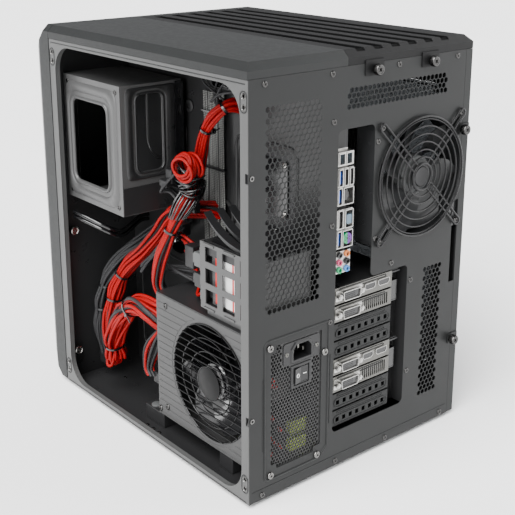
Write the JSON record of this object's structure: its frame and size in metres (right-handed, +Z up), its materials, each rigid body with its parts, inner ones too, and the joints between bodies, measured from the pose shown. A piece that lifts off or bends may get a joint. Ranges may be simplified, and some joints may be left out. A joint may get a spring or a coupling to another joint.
{
  "type": "desktop computer tower",
  "caption": "Dual-chamber desktop computer tower with one side open: cables, drives and power supply beside a windowed motherboard chamber.",
  "frame": {"origin": "centre of the bounding box at the soles of the feet", "axes": "+Z up, +Y towards the rear connectors, +X towards the open drive chamber"},
  "size_m": [0.318, 0.425, 0.458],
  "materials": {
    "steel_dark": "satin dark grey powder coat",
    "plastic_dark": "fine matte moulded",
    "plastic_black": "satin moulded",
    "black_metal": "satin black",
    "screw_metal": "turned, bright",
    "psu_grey": "satin grey powder coat",
    "wire_black": "satin black",
    "fan_grey": "satin moulded",
    "board": "semi-gloss black",
    "port_shell": "bright stamped shells",
    "fin_metal": "bare fins",
    "window": "clear tinted acrylic",
    "rubber": "matte",
    "cable_red": "woven sleeve",
    "cable_charcoal": "woven sleeve",
    "cable_black": "glossy jacket",
    "cable_grey": "woven flat sleeve"
  },
  "bodies": {
    "chassis": {"rear_panel": "steel_dark", "side_frame_right": "steel_dark", "side_frame_left": "steel_dark", "floor_pan": "steel_dark", "roof_pan": "steel_dark", "front_plate": "steel_dark", "motherboard_tray": "steel_dark", "front_bezel": "plastic_dark", "front_grille": "plastic_dark", "bay_cover_1": "plastic_dark", "bay_cover_2": "plastic_dark", "top_cover": "plastic_dark", "port_panel": "plastic_black", "psu_inlet": "plastic_black", "slot_covers_1": "black_metal", "slot_covers_2": "black_metal", "psu_shell": "psu_grey", "drive_cage": "psu_grey", "ssd_cage": "psu_grey", "rear_fan_guard": "wire_black", "psu_fan_guard": "wire_black", "rear_fan_frame": "fan_grey", "front_fan_1_frame": "fan_grey", "front_fan_2_frame": "fan_grey", "cooler_fan_frame": "fan_grey", "motherboard": "board", "graphics_card_1": "board", "graphics_card_2": "board", "io_ports": "port_shell", "cooler_heatsink": "fin_metal", "foot_1": "rubber", "foot_2": "rubber", "foot_3": "rubber", "foot_4": "rubber", "atx_cable": "cable_red", "spare_loop_cable": "cable_red", "red_loom": "cable_red", "psu_loom": "cable_red", "charcoal_loom": "cable_charcoal", "front_panel_leads": "cable_black", "sata_cables": "cable_grey"},
    "side_panel": {"side_panel": "steel_dark", "side_window": "window"},
    "panel_thumbscrew_1": {"panel_thumbscrew_1": "screw_metal"},
    "panel_thumbscrew_2": {"panel_thumbscrew_2": "screw_metal"},
    "top_grille": {"top_grille": "plastic_dark"},
    "top_thumbscrew_1": {"top_thumbscrew_1": "screw_metal"},
    "top_thumbscrew_2": {"top_thumbscrew_2": "screw_metal"},
    "rear_fan": {"rear_fan_rotor": "fan_grey"},
    "front_fan_1": {"front_fan_1_rotor": "fan_grey"},
    "front_fan_2": {"front_fan_2_rotor": "fan_grey"},
    "cooler_fan": {"cooler_fan_rotor": "fan_grey"},
    "psu_fan": {"psu_fan_rotor": "plastic_black"},
    "power_switch": {"power_switch": "plastic_black"},
    "power_button": {"power_button": "plastic_black"},
    "reset_button": {"reset_button": "plastic_black"},
    "ssd_tray_1": {"ssd_tray_1": "plastic_black"},
    "ssd_tray_2": {"ssd_tray_2": "plastic_black"},
    "ssd_tray_3": {"ssd_tray_3": "plastic_black"},
    "ssd_tray_4": {"ssd_tray_4": "plastic_black"}
  },
  "joints": [
    {"name": "rear_fan_spin", "type": "hinge", "parent": "chassis", "child": "rear_fan", "pos_m": [-0.0815, 0.179, 0.311], "axis": [0, 1, 0], "continuous": true},
    {"name": "front_fan_1_spin", "type": "hinge", "parent": "chassis", "child": "front_fan_1", "pos_m": [-0.053, -0.1595, 0.15], "axis": [0, 1, 0], "continuous": true},
    {"name": "front_fan_2_spin", "type": "hinge", "parent": "chassis", "child": "front_fan_2", "pos_m": [-0.053, -0.1595, 0.3], "axis": [0, 1, 0], "continuous": true},
    {"name": "cooler_fan_spin", "type": "hinge", "parent": "chassis", "child": "cooler_fan", "pos_m": [-0.048, 0.0525, 0.301], "axis": [0, 1, 0], "continuous": true},
    {"name": "psu_fan_spin", "type": "hinge", "parent": "chassis", "child": "psu_fan", "pos_m": [0.113, 0.113, 0.1012], "axis": [1, 0, 0], "continuous": true},
    {"name": "power_switch_rock", "type": "hinge", "parent": "chassis", "child": "power_switch", "pos_m": [0.0875, 0.1992, 0.1295], "axis": [0, 0, -1], "range_deg": [0, 14]},
    {"name": "power_button_press", "type": "slide", "parent": "chassis", "child": "power_button", "axis": [0, 1, 0], "range_m": [0, 0.0015], "stiffness_N_per_m": 300},
    {"name": "reset_button_press", "type": "slide", "parent": "chassis", "child": "reset_button", "axis": [0, 1, 0], "range_m": [0, 0.0015], "stiffness_N_per_m": 300},
    {"name": "side_panel_swing", "type": "hinge", "parent": "chassis", "child": "side_panel", "pos_m": [-0.159, -0.1655, 0.2235], "axis": [0, 0, 1], "range_deg": [0, 40]},
    {"name": "top_grille_lift", "type": "slide", "parent": "chassis", "child": "top_grille", "axis": [0, 0, 1], "range_m": [0, 0.04]},
    {"name": "ssd_tray_1_slide", "type": "slide", "parent": "chassis", "child": "ssd_tray_1", "axis": [0, 0, 1], "range_m": [0, 0.08]},
    {"name": "ssd_tray_2_slide", "type": "slide", "parent": "chassis", "child": "ssd_tray_2", "axis": [0, 0, 1], "range_m": [0, 0.08]},
    {"name": "ssd_tray_3_slide", "type": "slide", "parent": "chassis", "child": "ssd_tray_3", "axis": [0, 0, 1], "range_m": [0, 0.08]},
    {"name": "ssd_tray_4_slide", "type": "slide", "parent": "chassis", "child": "ssd_tray_4", "axis": [0, 0, 1], "range_m": [0, 0.08]},
    {"name": "panel_thumbscrew_1_turn", "type": "hinge", "parent": "side_panel", "child": "panel_thumbscrew_1", "pos_m": [-0.1465, 0.2025, 0.3545], "axis": [0, 1, 0], "continuous": true},
    {"name": "panel_thumbscrew_2_turn", "type": "hinge", "parent": "side_panel", "child": "panel_thumbscrew_2", "pos_m": [-0.1465, 0.2025, 0.103], "axis": [0, 1, 0], "continuous": true},
    {"name": "top_thumbscrew_1_turn", "type": "hinge", "parent": "top_grille", "child": "top_thumbscrew_1", "pos_m": [-0.005, 0.2025, 0.4363], "axis": [0, 1, 0], "continuous": true},
    {"name": "top_thumbscrew_2_turn", "type": "hinge", "parent": "top_grille", "child": "top_thumbscrew_2", "pos_m": [-0.089, 0.2025, 0.4363], "axis": [0, 1, 0], "continuous": true}
  ]
}
